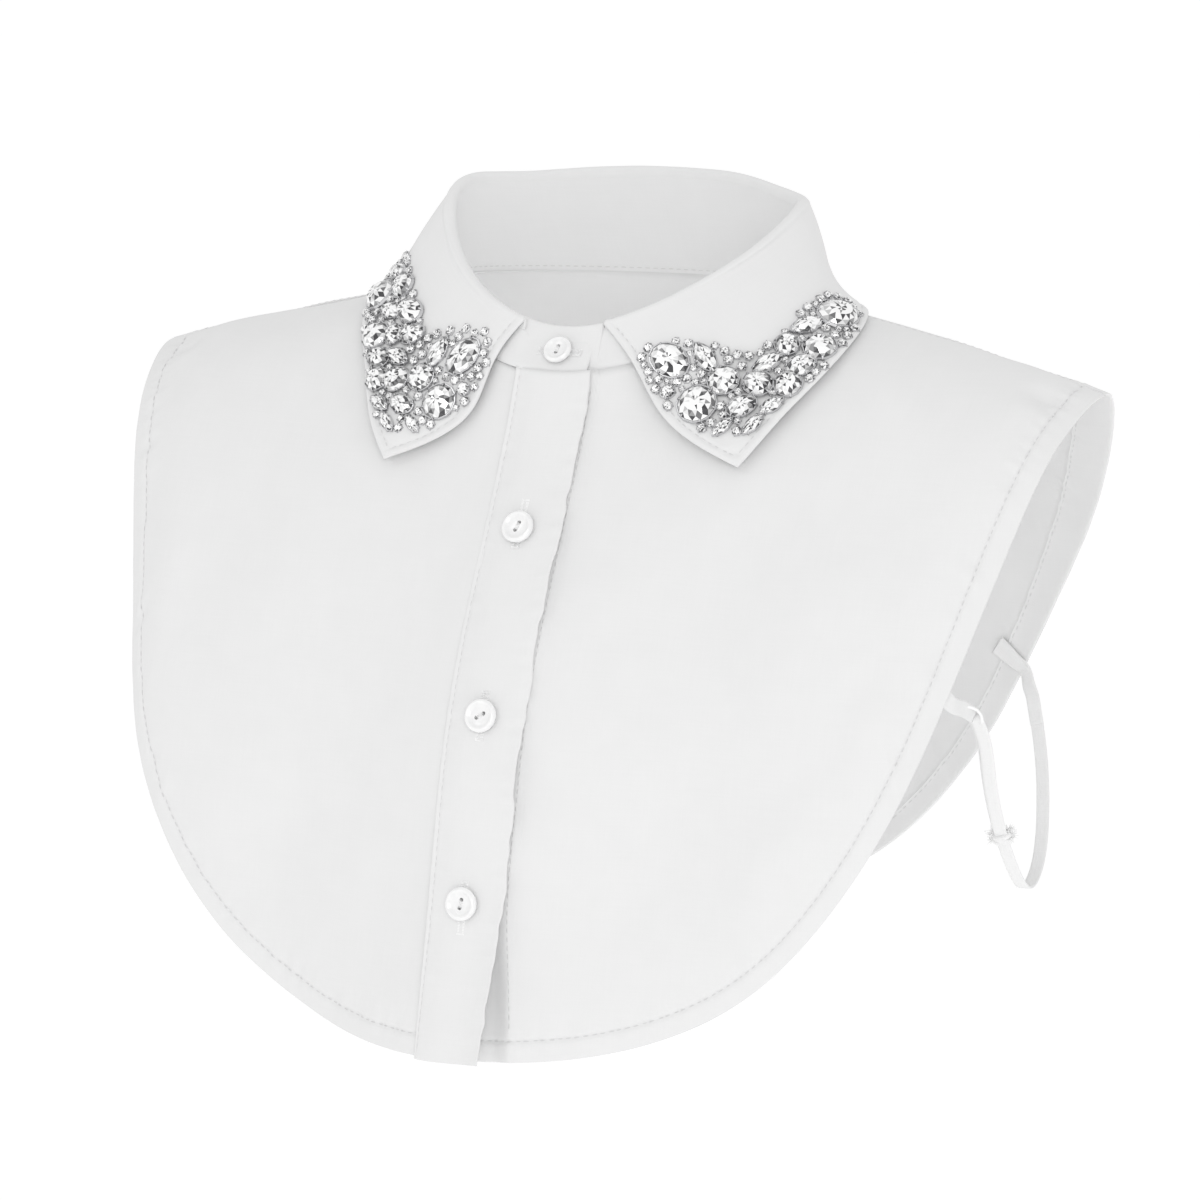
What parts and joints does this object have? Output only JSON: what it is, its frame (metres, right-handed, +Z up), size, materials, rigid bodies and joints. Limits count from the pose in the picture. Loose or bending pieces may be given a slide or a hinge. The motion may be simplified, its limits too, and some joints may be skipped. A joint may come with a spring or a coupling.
{
  "type": "detachable shirt collar",
  "caption": "False shirt collar with bib fronts and back, button placket, pointed collar with stone motifs on its points, and elastic side straps.",
  "frame": {"origin": "centre of the neck hole, on the wearer's midline at the height where the collar rests on the base of the neck", "axes": "+Z is up along the wearer's neck, the wearer faces -Y, +X is the wearer's left"},
  "size_m": [0.3486, 0.205, 0.2846],
  "materials": {
    "cotton": "matt white plain-weave shirting",
    "elastic": "white narrow braided elastic",
    "pearl_button": "gloss, faintly pearly",
    "stone_glass": "clear and grey faceted glass with foiled backs"
  },
  "bodies": {
    "root": {"front_left": "cotton", "front_right": "cotton", "back": "cotton", "placket": "cotton", "collar_stand": "cotton", "collar_fall": "cotton", "stones_left": "stone_glass", "stones_right": "stone_glass", "button_1": "pearl_button", "button_2": "pearl_button", "button_3": "pearl_button", "button_4": "pearl_button", "strap_left": "elastic", "strap_knot_left": "elastic", "strap_tab_front_left": "elastic", "strap_tab_back_left": "elastic", "strap_right": "elastic", "strap_knot_right": "elastic", "strap_tab_front_right": "elastic", "strap_tab_back_right": "elastic"}
  },
  "joints": []
}
